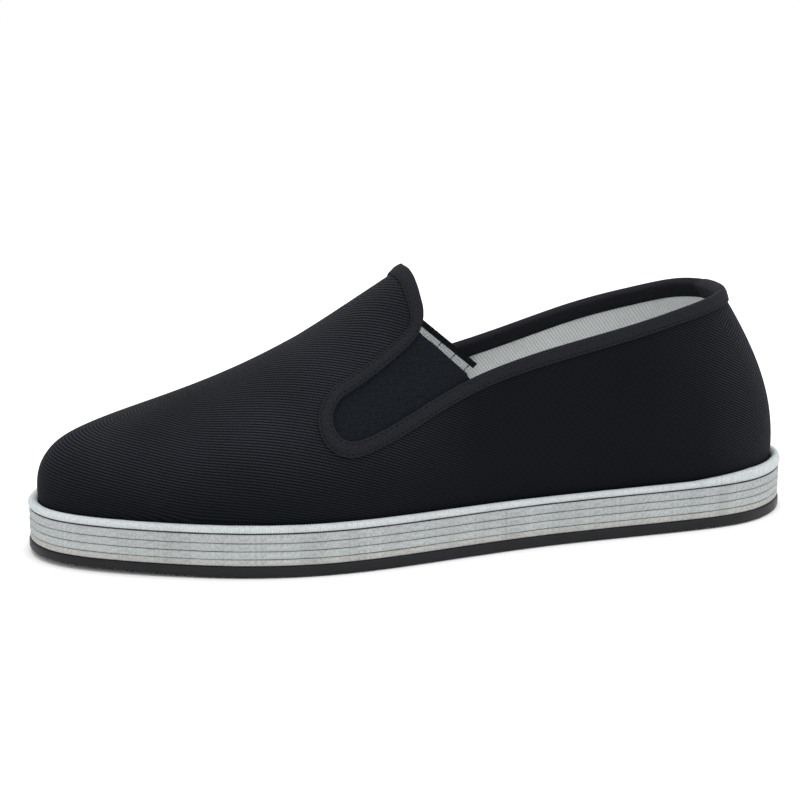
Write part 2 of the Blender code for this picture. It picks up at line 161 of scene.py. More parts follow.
def place_on_shoe(thing, *nodes, slot=None):
    """Fix a finished piece to the shoe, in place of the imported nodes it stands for."""
    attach(thing, "root")
    if nodes:
        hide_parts(*nodes)
    print(thing.name, "has", len(thing.data.polygons), "faces")


# %% [markdown]
# ## Small helpers for lines and maps
# Seams, edges and routes are lines of points. They are measured by walking along them, and are cut
# into even steps at chosen distances. A cloth map gives each face corner its place on the flat cloth.

# %% Line and map helpers
def distances(points):
    """Distance walked to each point of a line."""
    return np.append(0.0, np.cumsum(np.linalg.norm(np.diff(points, axis=0), axis=1)))


def spots_along(points, walked, stops):
    """Points of a line at chosen distances."""
    return np.stack([np.interp(stops, walked, column) for column in points.T], axis=1)


def close_line(points):
    """Line that ends where it starts."""
    return np.vstack([points, points[:1]])


def directions(vectors):
    """Vectors of length one."""
    return vectors / np.linalg.norm(vectors, axis=1)[:, None]


def ahead_along(points):
    """Direction of travel at each point of a closed line."""
    return directions(np.roll(points, -1, axis=0) - np.roll(points, 1, axis=0))


def ramp(value, start, end):
    """Share from 0 to 1 between two values, held beyond them."""
    return np.clip((value - start) / (end - start), 0.0, 1.0)


def corner_vertices(mesh):
    """Vertex at each face corner."""
    corners = np.empty(len(mesh.loops), np.int64)
    mesh.loops.foreach_get("vertex_index", corners)
    return corners


def new_grid(name, columns, rows):
    """Flat square grid from -0.5 to 0.5, without the map that it comes with."""
    bpy.ops.mesh.primitive_grid_add(x_subdivisions=columns, y_subdivisions=rows, size=1.0)
    thing = bpy.context.view_layer.objects.active
    thing.name = name
    while thing.data.uv_layers:
        thing.data.uv_layers.remove(thing.data.uv_layers[0])
    return thing


def write_map(mesh, values):
    """Write the cloth map from two values for each face corner."""
    mesh.uv_layers.new(name="weave").data.foreach_set("uv", values.astype(np.float32).ravel())


def paint(thing, name, values):
    """Write one value for each vertex, which a material can read by name."""
    layer = thing.data.attributes.new(name, "FLOAT", "POINT")
    layer.data.foreach_set("value", values.astype(np.float32))


# %% [markdown]
# ## Small helpers for materials
# Every finish is built from nodes. Colours are written as a picture shows them, from 0 to 255, and
# are turned into the linear numbers that a shader wants.

# %% Material helpers
def tone(red, green, blue):
    """Colour from the numbers that a picture shows."""
    linear = [c / 12.92 if c <= 0.04045 else ((c + 0.055) / 1.055) ** 2.4
              for c in (red / 255.0, green / 255.0, blue / 255.0)]
    return (*linear, 1.0)


def new_material(name, roughness, sheen=0.0, gloss=0.25):
    """Material with its shader, whose fixed values are set on its own sockets."""
    material = bpy.data.materials.new(name)
    material.use_nodes = True
    shader = material.node_tree.nodes["Principled BSDF"]
    shader.inputs["Roughness"].default_value = roughness
    shader.inputs["Sheen Weight"].default_value = sheen
    shader.inputs["Sheen Roughness"].default_value = 0.5
    shader.inputs["Specular IOR Level"].default_value = gloss
    return material, shader


def add_node(near, kind, **values):
    """Add a node to the tree that holds another node or socket, and set its plain properties."""
    node = near.id_data.nodes.new(kind)
    for key, value in values.items():
        setattr(node, key, value)
    return node


def link(start, end):
    """Join two sockets."""
    start.id_data.links.new(start, end)


def woven_place(shader, turn=0.0):
    """The piece's own map in metres, turned by an angle."""
    source = add_node(shader, "ShaderNodeUVMap", uv_map="weave")
    mapping = add_node(shader, "ShaderNodeMapping")
    mapping.inputs["Rotation"].default_value[2] = turn
    link(source.outputs["UV"], mapping.inputs["Vector"])
    return mapping.outputs["Vector"]


def painted_value(shader, name):
    """Value that is painted on the piece's vertices."""
    return add_node(shader, "ShaderNodeAttribute", attribute_name=name).outputs["Fac"]


def rib_wave(place, pitch, direction, wander):
    """Even ribs at a pitch in metres, from 0 to 1. The node's own wave is pi / 10 long."""
    wave = add_node(place, "ShaderNodeTexWave", wave_type="BANDS", bands_direction=direction)
    wave.inputs["Scale"].default_value = 2.0 * pi / 20.0 / pitch
    wave.inputs["Distortion"].default_value = wander
    wave.inputs["Detail Scale"].default_value = 2.0
    link(place, wave.inputs["Vector"])
    return wave.outputs["Fac"]


def cloudy(place, size, detail=3.0):
    """Soft clouds of a size in metres, from 0 to 1."""
    clouds = add_node(place, "ShaderNodeTexNoise")
    clouds.inputs["Scale"].default_value = 1.0 / size
    clouds.inputs["Detail"].default_value = detail
    link(place, clouds.inputs["Vector"])
    return clouds.outputs["Fac"]


def calculate(operation, value, other):
    """Join a socket with a number or another socket."""
    node = add_node(value, "ShaderNodeMath", operation=operation)
    link(value, node.inputs[0])
    if isinstance(other, float):
        node.inputs[1].default_value = other
    else:
        link(other, node.inputs[1])
    return node.outputs[0]


def times(value, other):
    """Product of two values."""
    return calculate("MULTIPLY", value, other)


def plus(value, other):
    """Sum of two values."""
    return calculate("ADD", value, other)


def rest_of(share):
    """What a share leaves of one."""
    return plus(times(share, -1.0), 1.0)


def stretch(value, low, high, new_low, new_high):
    """Map one range of values to another, held at its ends."""
    node = add_node(value, "ShaderNodeMapRange")
    for key, number in zip(("From Min", "From Max", "To Min", "To Max"), (low, high, new_low, new_high)):
        node.inputs[key].default_value = number
    link(value, node.inputs["Value"])
    return node.outputs["Result"]


def blend_colours(share, first, second):
    """Mix two colours, or two colour sockets, by a share."""
    node = add_node(share, "ShaderNodeMix", data_type="RGBA")
    link(share, node.inputs["Factor"])
    for key, value in (("A", first), ("B", second)):
        socket = [s for s in node.inputs if s.name == key and s.type == "RGBA"][0]
        if isinstance(value, tuple):
            socket.default_value = value
        else:
            link(value, socket)
    return [s for s in node.outputs if s.type == "RGBA"][0]


def colour_by(shader, share, first, second):
    """Colour the surface between two colours by a share."""
    link(blend_colours(share, first, second), shader.inputs["Base Color"])


def raise_surface(shader, height, depth, strength):
    """Let a height from 0 to 1 tilt the light on the surface, as relief of a depth in metres."""
    bump = add_node(shader, "ShaderNodeBump")
    bump.inputs["Distance"].default_value = depth
    bump.inputs["Strength"].default_value = strength
    link(height, bump.inputs["Height"])
    link(bump.outputs["Normal"], shader.inputs["Normal"])


# %% [markdown]
# ## Twill
# A twill shows long ribs, which the cross threads break into small steps. Two crossed waves give both,
# and clouds make some threads thicker. The photograph shows the ribs more on the vamp and the heel
# than between them. A value painted on the upper sets how strong they are, and it is also painted
# light: the cloth is paler where light falls on the vamp's top and the heel's back, and darker between.

# %% Twill finishes
CLOTH_GLOSS = 0.05
CROSS_ANGLE = radians(62)
# Where the painted value is low, the ribs are calmer and the cloth is darker, which is painted shade.
CALM_RIBS = 0.22
CALM_SHADED_TONE = 0.04


def twill(name, groove, thread, pitch, depth, roughness, sheen, turn=0.0, contrast=1.0, painted=False):
    """Twill weave: long ribs that short cross threads break into steps, softer and darker as painted
    shade where painted so.
    """
    material, shader = new_material(name, roughness, sheen, CLOTH_GLOSS)
    place = woven_place(shader, turn)
    ribs = rib_wave(place, pitch, "Y", 0.35)
    steps = rib_wave(woven_place(shader, turn + CROSS_ANGLE), pitch * 0.92, "Y", 0.5)
    broken = times(ribs, stretch(steps, 0.0, 1.0, 1.0 - 0.45 * contrast, 1.0))
    patches = stretch(cloudy(place, 30.0 * MM), 0.3, 0.7, 0.82, 1.1)
    slubs = stretch(cloudy(place, 0.9 * MM, 2.0), 0.35, 0.75, 0.8, 1.15)
    share = times(broken, times(patches, slubs))
    # The painted value is rib strength and painted light together: paler where light falls, darker
    # between.
    if painted:
        strength = painted_value(shader, "rib_strength_and_light")
        calm_and_shaded = plus(times(share, CALM_RIBS), CALM_SHADED_TONE)
        lively_and_lit = times(share, strength)
        share = plus(lively_and_lit, times(calm_and_shaded, rest_of(strength)))
        broken = times(broken, stretch(strength, 0.0, 1.0, 0.35, 1.0))
    colour_by(shader, share, groove, thread)
    raise_surface(shader, broken, depth, 0.8)
    return material


black_twill = twill("black_twill", tone(3, 5, 7), tone(51, 53, 60), pitch=0.98 * MM, depth=0.22 * MM,
                    roughness=0.85, sheen=0.012, painted=True)
grey_twill = twill("grey_twill", tone(210, 213, 213), tone(246, 248, 248), pitch=1.4 * MM,
                   depth=0.2 * MM, roughness=0.9, sheen=0.0, turn=radians(38), contrast=0.6)
print("twills:", black_twill.name, "and", grey_twill.name)

# %% [markdown]
# ## Knit and tape
# The gore is a knit, so its loops stand in a check: two waves at right angles. The tape is a close
# weave that catches more light. Where its two ends overlap it carries a painted highlight, as in the
# photograph.

# %% Knit and tape finishes
def knit(name, groove, thread, pitch, sheen):
    """Knitted cloth: small loops in a check."""
    material, shader = new_material(name, 0.9, sheen, CLOTH_GLOSS)
    place = woven_place(shader, radians(-4))
    along = rib_wave(place, pitch, "X", 0.6)
    across = rib_wave(place, pitch * 1.15, "Y", 0.6)
    loops = times(along, across)
    between = times(rest_of(along), rest_of(across))
    share = plus(loops, times(between, 0.8))
    fuzz = stretch(cloudy(place, 1.2 * MM), 0.3, 0.75, 0.55, 1.15)
    share = times(share, fuzz)
    colour_by(shader, share, groove, thread)
    raise_surface(shader, share, 0.3 * MM, 0.8)
    return material


black_knit = knit("black_knit", tone(4, 6, 8), tone(38, 42, 50), pitch=0.9 * MM, sheen=0.01)
grey_knit = knit("grey_knit", tone(190, 195, 196), tone(244, 246, 246), pitch=1.3 * MM, sheen=0.0)


def tape_cloth(name, groove, thread):
    """Close woven tape with a faint cord across it, and a painted highlight where its ends overlap."""
    material, shader = new_material(name, 0.8, 0.01, CLOTH_GLOSS)
    place = woven_place(shader)
    cords = rib_wave(place, 0.8 * MM, "X", 1.2)
    fuzz = stretch(cloudy(place, 0.6 * MM, 4.0), 0.3, 0.75, 0.1, 0.75)
    share = plus(times(cords, 0.15), fuzz)
    # Painted highlight: the tape is painted paler where its ends overlap behind the heel.
    lap_highlight = plus(share, times(painted_value(shader, "lap_highlight"), 0.5))
    colour_by(shader, lap_highlight, groove, thread)
    raise_surface(shader, share, 0.15 * MM, 0.7)
    return material


black_tape = tape_cloth("black_tape", tone(14, 14, 17), tone(44, 45, 50))
print("knits and tape:", black_knit.name, grey_knit.name, black_tape.name)

# %% [markdown]
# ## White cotton
# The sole's strips are bleached cotton that handling and paste have greyed. A fine weave, soft stains
# and a few dark specks give that. Each layer has its own slight tint, as it does on the real shoe.

# %% White cotton finishes
def white_cloth(name, pale, shade):
    """White cotton with a fine weave, soft stains and a few specks."""
    material, shader = new_material(name, 0.9, 0.0, CLOTH_GLOSS)
    place = woven_place(shader)
    leaning = rib_wave(woven_place(shader, radians(40)), 1.1 * MM, "X", 0.9)
    weave = times(leaning, rib_wave(place, 0.7 * MM, "Y", 0.9))
    stains = stretch(cloudy(place, 12.0 * MM, 5.0), 0.35, 0.7, 0.0, 1.0)
    fibres = stretch(cloudy(place, 1.1 * MM, 5.0), 0.4, 0.75, 0.0, 0.7)
    share = plus(times(stains, 0.3), times(rest_of(weave), 0.3))
    colour = blend_colours(plus(share, fibres), pale, shade)
    specks = stretch(cloudy(place, 1.6 * MM, 1.0), 0.74, 0.8, 0.0, 0.5)
    colour_by(shader, specks, colour, tone(120, 114, 104))
    threads = plus(weave, times(cloudy(place, 2.0 * MM, 4.0), 1.5))
    raise_surface(shader, threads, 0.12 * MM, 0.6)
    return material


LAYER_TINTS = [
    (tone(192, 193, 191), tone(150, 149, 146)),
    (tone(191, 195, 195), tone(150, 155, 155)),
    (tone(187, 190, 191), tone(147, 151, 152)),
    (tone(188, 191, 192), tone(147, 150, 151)),
]
layer_cloths = [white_cloth("layer_cotton_%d" % (i + 1), *tint) for i, tint in enumerate(LAYER_TINTS)]
piping_cotton = white_cloth("piping_cotton", tone(211, 216, 217), tone(180, 186, 188))
print("cottons:", len(layer_cloths) + 1)


# %% [markdown]
# ## Rubber, thread and paste
# The rubber is dark and a little shiny, with scuffs that dull it. Threads and dried paste are too thin
# to show a pattern, so soft clouds of two close colours are enough. The paste's colours are also
# painted shade in the grooves between the sole's layers.

# %% Rubber, thread and paste finishes
def rubber_finish():
    """Dark moulded rubber with a faint grain and scuffs."""
    material, shader = new_material("sole_rubber", 0.5)
    place = woven_place(shader)
    grain = cloudy(place, 0.8 * MM, 3.0)
    scuffs = stretch(cloudy(place, 10.0 * MM, 6.0), 0.4, 0.7, 0.0, 1.0)
    colour_by(shader, scuffs, tone(13, 14, 18), tone(25, 26, 31))
    link(stretch(scuffs, 0.0, 1.0, 0.42, 0.62), shader.inputs["Roughness"])
    raise_surface(shader, grain, 0.08 * MM, 0.6)
    return material


def plain_finish(name, first, second, roughness, size):
    """Finish with fine clouds of two close colours, for threads, and for paste that is also painted
    shade.
    """
    material, shader = new_material(name, roughness, 0.0, 0.1)
    source = add_node(shader, "ShaderNodeTexCoord")
    grain = stretch(cloudy(source.outputs["Object"], size), 0.3, 0.7, 0.0, 1.0)
    colour_by(shader, grain, first, second)
    return material


sole_rubber = rubber_finish()
black_thread = plain_finish("black_thread", tone(7, 7, 9), tone(20, 20, 23), 0.6, 0.8 * MM)
grey_thread = plain_finish("grey_thread", tone(28, 29, 32), tone(48, 49, 53), 0.6, 0.8 * MM)
# Painted shade: the two paste finishes darken the grooves between the sole's layers, besides giving the
# paste's colour.
paste_and_groove_shade = plain_finish("paste_and_groove_shade", tone(66, 64, 60), tone(98, 94, 88), 0.9, 1.5 * MM)
paste_and_deep_shade = plain_finish("paste_and_deep_shade", tone(38, 33, 30), tone(66, 60, 54), 0.9, 1.5 * MM)
print("finishes:", len(bpy.data.materials))

# %% [markdown]
# ## The outline of the sole
# All the pieces of the sole share one outline, which is read from the rubber's own lower edge in the
# frame. It is drawn through those points as a smooth closed line. A toe that rises a little ahead of
# the ball lifts everything above it by the same amount.

# %% Outline of the sole
SPRING_START_Y = -0.047
SPRING_REACH = 0.096
SPRING_HEIGHT = 0.0008
SPRING_POWER = 1.6
RUBBER_EDGE = 0.0006
EDGE_TOLERANCE = 0.00002
PRESS_PLACES = (-0.14, 0.0, 0.095, 0.125)
PRESS = (1.0, 1.0, 1.035, 1.05)


def toe_lift(y):
    """How far the toe's spring lifts the sole there."""
    beyond = np.maximum(0.0, SPRING_START_Y - np.asarray(y)) / SPRING_REACH
    return SPRING_HEIGHT * beyond ** SPRING_POWER


def stack_height(height, y):
    """Height of a level of the sole there. Ahead of the heel the stack is pressed thinner."""
    return height * np.interp(y, PRESS_PLACES, PRESS) + toe_lift(y)


def smooth_loop(points, count):
    """Draw a closed line through points without corners, and give even steps along it."""
    points = np.asarray(points)
    before, after, second = (np.roll(points, shift, axis=0) for shift in (1, -1, -2))
    rows = []
    for t in np.linspace(0.0, 1.0, 12, endpoint=False):
        rows.append(0.5 * (2 * points + (after - before) * t
                           + (2 * before - 5 * points + 4 * after - second) * t ** 2
                           + (3 * points - before - 3 * after + second) * t ** 3))
    line = close_line(np.stack(rows, axis=1).reshape(-1, points.shape[1]))
    walked = distances(line[:, :3])
    return spots_along(line, walked, np.linspace(0.0, walked[-1], count, endpoint=False))


rubber_spots = places(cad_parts["outsole"])
edge_height = rubber_spots[:, 2] - toe_lift(rubber_spots[:, 1])
on_edge = np.abs(edge_height - RUBBER_EDGE) < EDGE_TOLERANCE
edge_spots = np.unique(np.round(rubber_spots[on_edge], 6), axis=0)
edge_spots = edge_spots[np.argsort(np.arctan2(edge_spots[:, 1], edge_spots[:, 0]))]
outline_length = distances(close_line(edge_spots))[-1]
print("outline has", len(edge_spots), "points and is", round(outline_length * 1000), "mm long")


def outline(count):
    """Even places round the sole in plan, with the inward direction at each."""
    line = smooth_loop(edge_spots, count)[:, :2]
    ahead = ahead_along(line)
    return line, np.stack([-ahead[:, 1], ahead[:, 0]], axis=1)


# %% [markdown]
# ## Plates
# A layer of the sole starts as a cylinder with many sides. Its upright edges are cut into rows, and
# each vertex is then moved to its place on the outline, so that the wall follows a drawn profile. The
# cloth map runs along the wall and up it, so the weave bends round the shoe with the strip.

# %% Plate maker
def map_cloth(thing, lengthwise, crosswise):
    """Write the cloth map of a grid from the place along and the place across of each vertex."""
    mesh = thing.data
    corners = corner_vertices(mesh)
    spots = places(thing)
    values = np.stack([lengthwise[corners], crosswise[corners]], axis=1)
    whole = lengthwise.max()
    for face in mesh.polygons:
        loops = slice(face.loop_start, face.loop_start + face.loop_total)
        if face.loop_total > 4:
            values[loops] = spots[corners[loops], :2]
            continue
        along = values[loops, 0]
        if along.max() - along.min() > whole / 2:
            along[along < whole / 2] += whole
    write_map(mesh, values)


def wander(line, scale, seed):
    """Smooth wander from -1 to 1 along a line in plan."""
    return np.array([noise.noise(Vector((x * scale, y * scale, seed))) for x, y in line])


def plate(name, count, profile, wobble=0.0, lift=None):
    """Closed plate of the sole's outline. The profile gives inset and height from bottom to top."""
    bpy.ops.mesh.primitive_cylinder_add(vertices=count, radius=1.0, depth=1.0, end_fill_type="NGON")
    thing = bpy.context.view_layer.objects.active
    thing.name = name
    spots = places(thing)
    mesh = thing.data
    edit_all(thing)
    bpy.ops.mesh.select_mode(type="EDGE")
    bpy.ops.mesh.select_all(action="DESELECT")
    leave_edit()
    for edge in mesh.edges:
        first, second = (spots[v] for v in edge.vertices)
        edge.select = abs(first[2] - second[2]) > 0.5
    bpy.ops.object.mode_set(mode="EDIT")
    bpy.ops.mesh.subdivide(number_cuts=len(profile) - 2)
    leave_edit()
    spots = places(thing)
    steps = np.round(np.arctan2(spots[:, 1], spots[:, 0]) / (2 * pi) * count).astype(int) % count
    rows = np.round((spots[:, 2] + 0.5) * (len(profile) - 1)).astype(int)
    line, inward = outline(count)
    profile = np.asarray(profile)
    seed = profile[0, 1] * 900
    inset = profile[rows, 0] + wobble * wander(line, 90, seed)[steps]
    flat = line[steps] + inward[steps] * inset[:, None]
    dip = 0.6 * wobble * wander(line, 60, 7.0 + seed)[steps]
    height = stack_height(profile[rows, 1], line[steps, 1]) + dip
    if lift is not None:
        height = height + lift(steps / count, rows, flat)
    set_places(thing, np.column_stack([flat, height]))
    map_cloth(thing, steps / count * outline_length, distances(profile)[rows])
    pick(thing)
    bpy.ops.object.shade_smooth_by_angle(angle=radians(50))
    return thing


# %% [markdown]
# ## The rubber outsole
# The outsole is a moulded slab. Its wall is upright with a soft upper edge, and its underside has a
# flat rim that stands on the floor round a shallow bed. The photograph doesn't show the underside, so
# it stays plain. At the toe and the heel the lower edge has small teeth, which are raised steps there.

# %% Rubber outsole
TOOTH_PITCH = 1.7 * MM
TOOTH_DEPTH = 0.28 * MM
TOE_RISE = 0.6 * MM
RUBBER_PROFILE = [(6.6, 0.7), (6.0, 0.0), (0.75, 0.0), (0.25, 0.12), (0.02, 0.6), (0.0, 2.0),
                  (0.05, 3.2), (0.25, 3.65), (0.8, 3.82)]


def teeth(turn, rows, flat):
    """Small teeth along the lower edge at the toe and the heel, and a thinner edge at the toe."""
    wave = np.sin(turn * 2 * pi * round(outline_length / TOOTH_PITCH))
    ends = ramp(np.abs(flat[:, 1]), 0.075, 0.095)
    tooth = TOOTH_DEPTH * (wave > 0) * ends
    toe_rise = TOE_RISE * ramp(flat[:, 1], -0.085, -0.115)
    return np.where(rows <= 4, toe_rise, 0.0) + np.where((rows >= 1) & (rows <= 3), tooth, 0.0)


outsole = plate("rubber_outsole", 1400, [(i * MM, h * MM) for i, h in RUBBER_PROFILE], lift=teeth)
dress(outsole, sole_rubber)
place_on_shoe(outsole, "outsole", slot="outsole_rubber")

# %% [markdown]
# ## The four cloth layers
# Each layer is a stack of pasted cloth in a folded white strip, so its edge is a soft round and never
# quite even. A half-round profile with a small wander gives that.

# %% Cloth layers
GROOVES = (3.95, 6.25, 9.05, 11.9, 15.1)
GROOVE_HALF = 0.06 * MM
LAYER_INSET = 0.4 * MM
LAYER_BULGE = 0.6 * MM
LAYER_STEPS = 560


def strip_profile(low, high, inset, bulge):
    """Edge of a folded strip: a soft round between its two faces."""
    rows = []
    for turn in np.radians([-90, -66, -45, -25, -8, 8, 25, 45, 66, 90]):
        up = np.sign(turn) * abs(sin(turn)) ** 0.75
        rows.append((inset + bulge * (1.0 - cos(turn) ** 0.7), (low + high) / 2 + up * (high - low) / 2))
    return rows


for i, cloth in enumerate(layer_cloths):
    low, high = GROOVES[i] * MM + GROOVE_HALF, GROOVES[i + 1] * MM - GROOVE_HALF
    profile = strip_profile(low, high, LAYER_INSET, LAYER_BULGE)
    layer = plate("cloth_strip_%d" % (i + 1), LAYER_STEPS, profile, wobble=0.13 * MM)
    dress(layer, cloth)
    place_on_shoe(layer, "cloth_layer_%d" % (i + 1), slot="white_cotton")

# %% [markdown]
# ## Paste and painted shade between the layers
# Dried paste and the shade deep in each groove show as a thin dark line. A thin plate, set a little
# inside the strips, paints that line from every side, where a painted line would follow only one view.
# The plates in the top and bottom grooves are darker; in the top one that is the piping's painted
# shadow.

# %% Paste and painted shade between the layers
PASTE_INSET = 0.85 * MM
PASTE_HALF = 0.14 * MM

for i, groove in enumerate(GROOVES):
    profile = [(PASTE_INSET, groove * MM + side * PASTE_HALF) for side in (-1, 1)]
    paste = plate("paste_and_shade_line_%d" % (i + 1), LAYER_STEPS, profile, wobble=0.12 * MM)
    # Painted shade: each plate darkens its groove. The darker finish in the top groove is the piping's
    # painted shadow.
    dress(paste, paste_and_deep_shade if i in (0, len(GROOVES) - 1) else paste_and_groove_shade)
    place_on_shoe(paste)

# %% [markdown]
# ## Closed tubes
# The piping and the tape are closed loops with one section all the way round. Each starts as a flat
# grid, like a sheet of paper. The sheet is rolled into the section, bent along the route, and its
# meeting edges are merged. The cloth map is the flat sheet itself, so it has no jump at the seam.

# %% Loop maker
def closed_tube(name, rings):
    """Closed tube through rings of points, from an array of steps by section by three."""
    count, section = rings.shape[:2]
    thing = new_grid(name, count, section)
    flat = places(thing)
    along = np.round((flat[:, 0] + 0.5) * count).astype(int)
    across = np.round((flat[:, 1] + 0.5) * section).astype(int)
    set_places(thing, rings[along % count, across % section])
    middle = rings.mean(axis=1)
    walk, girth = distances(close_line(middle)), distances(close_line(rings[0]))
    corners = corner_vertices(thing.data)
    write_map(thing.data, np.stack([walk[along[corners]], girth[across[corners]]], axis=1))
    edit_all(thing)
    bpy.ops.mesh.remove_doubles(threshold=1e-7)
    bpy.ops.mesh.normals_make_consistent(inside=False)
    leave_edit()
    bpy.ops.object.shade_smooth()
    return thing


# %% [markdown]
# ## The welt piping
# A strip of white cotton is rolled round a cord and sewn along the foot of the upper. The weave of
# the strip runs askew, and shows as fine slanted ribs. They are real ridges here: the section swells
# and shrinks a little along the route, and the swell turns as it goes round. At the heel it stands
# higher.

# %% Welt piping
PIPING_CENTRE = 1.88 * MM
PIPING_RADIUS = 1.62 * MM
PIPING_TOP_PLACES = (-0.14, -0.02, 0.045, 0.095, 0.12, 0.14)
PIPING_TOPS = (17.9, 17.75, 17.8, 18.3, 20.3, 20.7)
RIB_PITCH = 0.98 * MM
RIB_STEPS = 4
RIB_DEPTH = 0.09
PIPING_SECTION = 14

rib_count = int(round(outline_length / RIB_PITCH))
line, inward = outline(rib_count * RIB_STEPS)
steps = np.arange(len(line))[:, None]
angles = np.arange(PIPING_SECTION)[None, :] * 2 * pi / PIPING_SECTION
swell = 1.0 + RIB_DEPTH * np.cos(2 * pi * steps / RIB_STEPS + 1.6 * np.sin(angles))
swell = swell + 0.03 * wander(line, 120, 3.0)[:, None]
inset = PIPING_CENTRE - PIPING_RADIUS * swell * np.cos(angles)
base = stack_height((GROOVES[-1] + 0.1) * MM, line[:, 1])
crown = np.interp(line[:, 1], PIPING_TOP_PLACES, PIPING_TOPS) * MM + toe_lift(line[:, 1])
height = ((base + crown) / 2)[:, None] + ((crown - base) / 2)[:, None] * swell * np.sin(angles)
flat = line[:, None, :] + inward[:, None, :] * inset[:, :, None]
piping = closed_tube("welt_cord", np.concatenate([flat, height[:, :, None]], axis=2))
dress(piping, piping_cotton)
place_on_shoe(piping, "welt_piping", slot="white_cotton")

# %% [markdown]
# ## The insole
# The insole is a thin board covered with the lining's cloth. Only its top shows, down the collar, so
# a plate with soft edges is enough.

# %% Insole
INSOLE_INSET = 6.3
insole = plate("insole_board", 280, [(i * MM, h * MM) for i, h in (
    (INSOLE_INSET + 0.4, 16.4), (INSOLE_INSET, 16.8), (INSOLE_INSET, 18.3), (INSOLE_INSET + 0.2, 18.65),
    (INSOLE_INSET + 0.7, 18.8))])
dress(insole, grey_twill)
place_on_shoe(insole, "insole", slot="grey_lining")

# %% [markdown]
# ## The upper
# The vamp and quarters are one piece of twill, pulled over a last, with the lining inside. The frame
# has the right shape, so its copy is only rounded. What is new is the cloth map. Near the sole the
# ribs run level with it, over the instep they turn to follow the crest, and towards the heel they
# slope down. The map measures each point's distance up the wall and its place along the shoe.

# %% Upper
upper = copy_node("upper", "twill_upper")
smooth(upper, 2)
spots = places(upper)

TOE_CENTRE_Y = -0.085
HEEL_CENTRE_Y = 0.098
FOOT_HEIGHT = 16.4 * MM
TOE_CURVE = 45.0 * MM
HEEL_CURVE = 32.0 * MM
CREST_RIBS = 0.088
CREST_SPREAD = 0.06


def column_of(x, y):
    """Place along the shoe, bent round its two ends, and distance out from the middle."""
    if y < TOE_CENTRE_Y:
        return TOE_CENTRE_Y - TOE_CURVE * atan2(TOE_CENTRE_Y - y, abs(x)), np.hypot(x, y - TOE_CENTRE_Y)
    if y > HEEL_CENTRE_Y:
        out = np.hypot(x, y - HEEL_CENTRE_Y)
        curve = HEEL_CURVE if x < 0.0 else out
        return HEEL_CENTRE_Y + curve * atan2(y - HEEL_CENTRE_Y, abs(x)), out
    return y, abs(x)


columns = np.array([column_of(x, y) for x, y, z in spots])
lift = spots[:, 2] - FOOT_HEIGHT - toe_lift(spots[:, 1])
foot = lift < 0.3 * MM
crest = (np.abs(spots[:, 0]) < 4 * MM) & (spots[:, 1] < -5 * MM) & (lift > 15 * MM)


def running(values, places_along, span, count):
    """Smooth table of the largest values near even places along the shoe."""
    stops = np.linspace(span.min(), span.max(), count)
    table = [values[np.argsort(np.abs(places_along - stop))[:6]].max() for stop in stops]
    table = np.pad(table, 4, mode="edge")
    return stops, np.convolve(table, np.hanning(11)[1:-1] / np.hanning(11).sum(), mode="valid")


foot_table = running(columns[foot, 1], columns[foot, 0], columns[:, 0], 90)
crest_table = running(lift[crest], columns[crest, 0], columns[crest, 0], 60)
foot_out = np.interp(columns[:, 0], *foot_table)
crest_up = np.interp(columns[:, 0], *crest_table)
over_vamp = ramp(columns[:, 0], 0.01, -0.03)
climb = lift + (np.hypot(foot_out - columns[:, 1], lift) - lift) * over_vamp
total = np.hypot(foot_out, crest_up)
share = climb / total
climb = climb * (1.0 - CREST_SPREAD * share ** 3)
total = total * (1.0 - CREST_SPREAD)
turn_over = ramp(share, 0.4, 1.0)
turn_over = turn_over ** 2 * (3 - 2 * turn_over) * over_vamp
across = climb * (1 - turn_over) + (np.minimum(CREST_RIBS, total) - (total - climb)) * turn_over
SLOPE_PLACES = (-0.2, -0.07, -0.01, 0.2)
SLOPES = (0.1, 0.12, 0.42, 0.42)
fine = np.linspace(-0.2, 0.2, 401)
slant = np.append(0.0, np.cumsum(np.interp(fine, SLOPE_PLACES, SLOPES)[1:] * np.diff(fine)))

HEEL_SEAM_X = 0.0185


def map_upper(mesh):
    """Write the cloth map of the upper. The inner side's strip ends at the heel's seam."""
    corners = corner_vertices(mesh)
    values = np.empty((len(corners), 2))
    for face in mesh.polygons:
        loops = slice(face.loop_start, face.loop_start + face.loop_total)
        own = corners[loops]
        middle = face.center
        inner = middle.y > HEEL_CENTRE_Y + 0.01 and middle.x < HEEL_SEAM_X
        along = columns[own, 0].copy()
        far = spots[own, 0] > 0.0
        if inner:
            along[far] = 2 * HEEL_CENTRE_Y + (HEEL_CURVE + columns[own[far], 1]) * pi / 2 - along[far]
        values[loops, 0] = along
        values[loops, 1] = across[own] + np.interp(along, fine, slant)
    write_map(mesh, values)


map_upper(upper.data)

# Rib strength and painted light: high on the vamp's top and the heel's back, where light falls, and low
# on the quarter, which is painted darker.
x, y = spots[:, 0], spots[:, 1]
vamp = ramp(y, 0.01, -0.02) * np.maximum(0.15, ramp(share, 0.05, 0.45))
inner_toe = ramp(y, -0.045, -0.075) * ramp(x, 0.008, -0.012)
toe_top = ramp(np.hypot(x, y - TOE_CENTRE_Y), 0.04, 0.0)
vamp = vamp * (1.0 - 0.6 * inner_toe) * (1.0 - 0.8 * toe_top)
heel_light_and_ribs = 0.4 * ramp(y, 0.07, 0.11) * np.maximum(0.2, ramp(lift, 0.0, 0.05))
heel_light_and_ribs = heel_light_and_ribs + 0.55 * ramp(y, 0.1, 0.12)
paint(upper, "rib_strength_and_light", np.clip(np.maximum(vamp, heel_light_and_ribs), 0.0, 1.0))

# %% [markdown]
# ## Twill outside, lining inside
# The shell is one mesh with both cloths. A face that looks away from the middle of the foot is
# outside and takes the black twill. The others take the pale lining.

